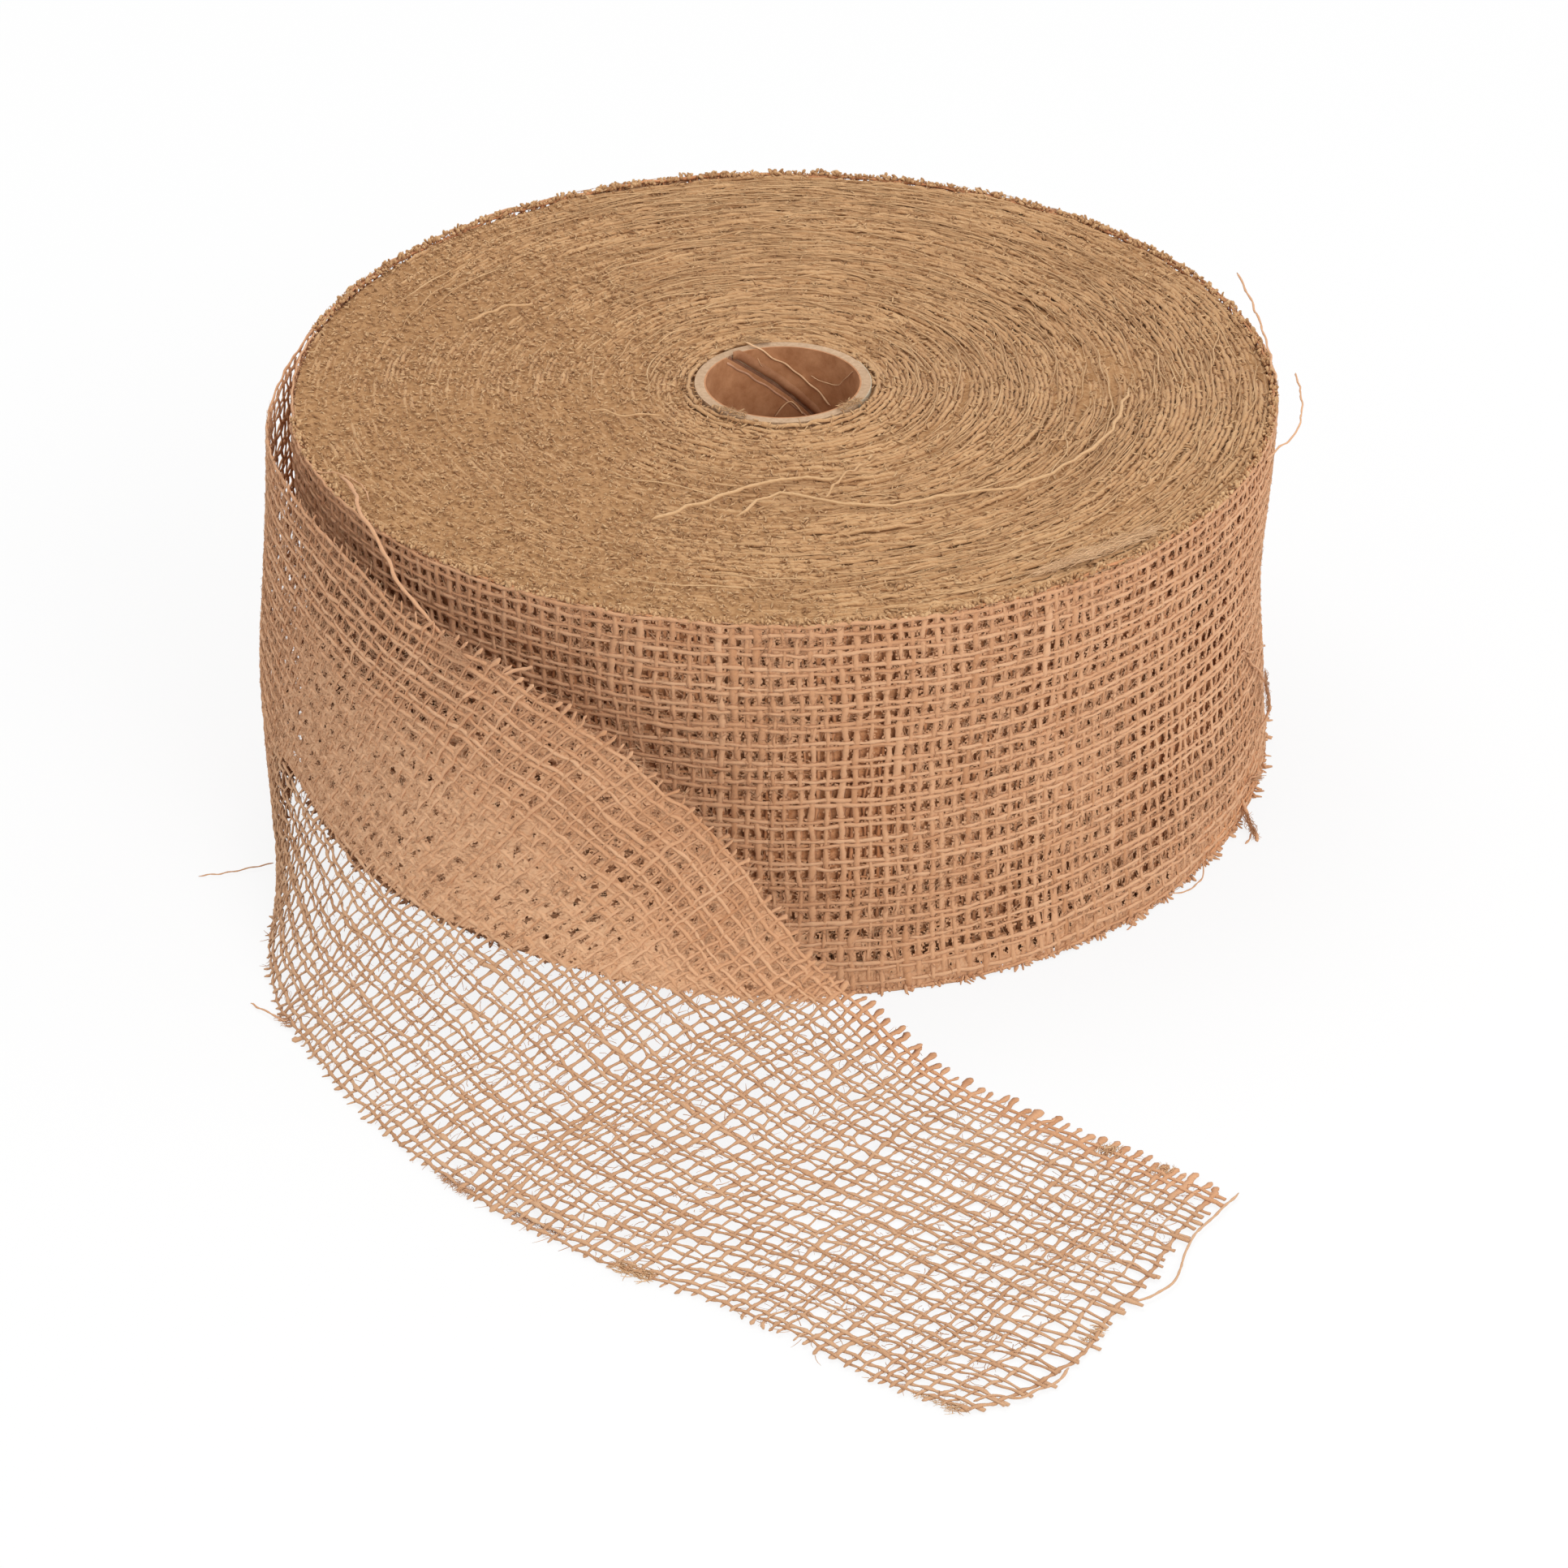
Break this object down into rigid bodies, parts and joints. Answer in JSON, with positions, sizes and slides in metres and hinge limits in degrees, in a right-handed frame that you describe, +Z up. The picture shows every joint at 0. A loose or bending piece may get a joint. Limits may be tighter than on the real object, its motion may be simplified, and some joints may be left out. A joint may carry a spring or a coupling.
{
  "type": "ribbon roll",
  "caption": "Roll of open-weave jute ribbon on a bare paper core, standing on its end, with a loose outer turn whose free tail twists down and lies flat.",
  "frame": {"origin": "centre of the core's bore on the base plane that the roll stands on", "axes": "+Z up along the core's axis; the front, where the free end lies, is -Y; the ribbon leaves the roll on the -X side"},
  "size_m": [0.2499, 0.4116, 0.1],
  "materials": {
    "kraft_liner": "brown kraft paper, matt",
    "core_board": "pale grey-brown paperboard, matt, cut edge",
    "tape": "paper tape, matt",
    "jute_wound": "edges of tightly wound jute ribbon, matt and fibrous",
    "jute_weave": "open plain weave of jute yarns in pairs, matt and hairy"
  },
  "bodies": {
    "roll": {"core_liner": "kraft_liner", "core_board_1": "core_board", "core_board_2": "core_board", "core_board_3": "core_board", "core_wrap": "core_board", "starter_tape": "tape", "ribbon_pack": "jute_wound"},
    "outer_turn": {"ribbon_outer_turn": "jute_weave"},
    "tail": {"ribbon_tail": "jute_weave"},
    "tail_end": {"ribbon_tail_end": "jute_weave"}
  },
  "joints": [
    {"name": "unwind", "type": "hinge", "parent": "roll", "child": "outer_turn", "pos_m": [0, 0, 0], "axis": [0, 0, 1], "continuous": true},
    {"name": "tail_swing", "type": "hinge", "parent": "outer_turn", "child": "tail", "pos_m": [-0.11889, 0.02527, 0.05], "axis": [0, 0, -1], "range_deg": [0, 60]},
    {"name": "tail_lift", "type": "hinge", "parent": "tail", "child": "tail_end", "pos_m": [0.01121, -0.20402, 0.00045], "axis": [-0.6088, -0.7934, 0], "range_deg": [0, 80]}
  ]
}
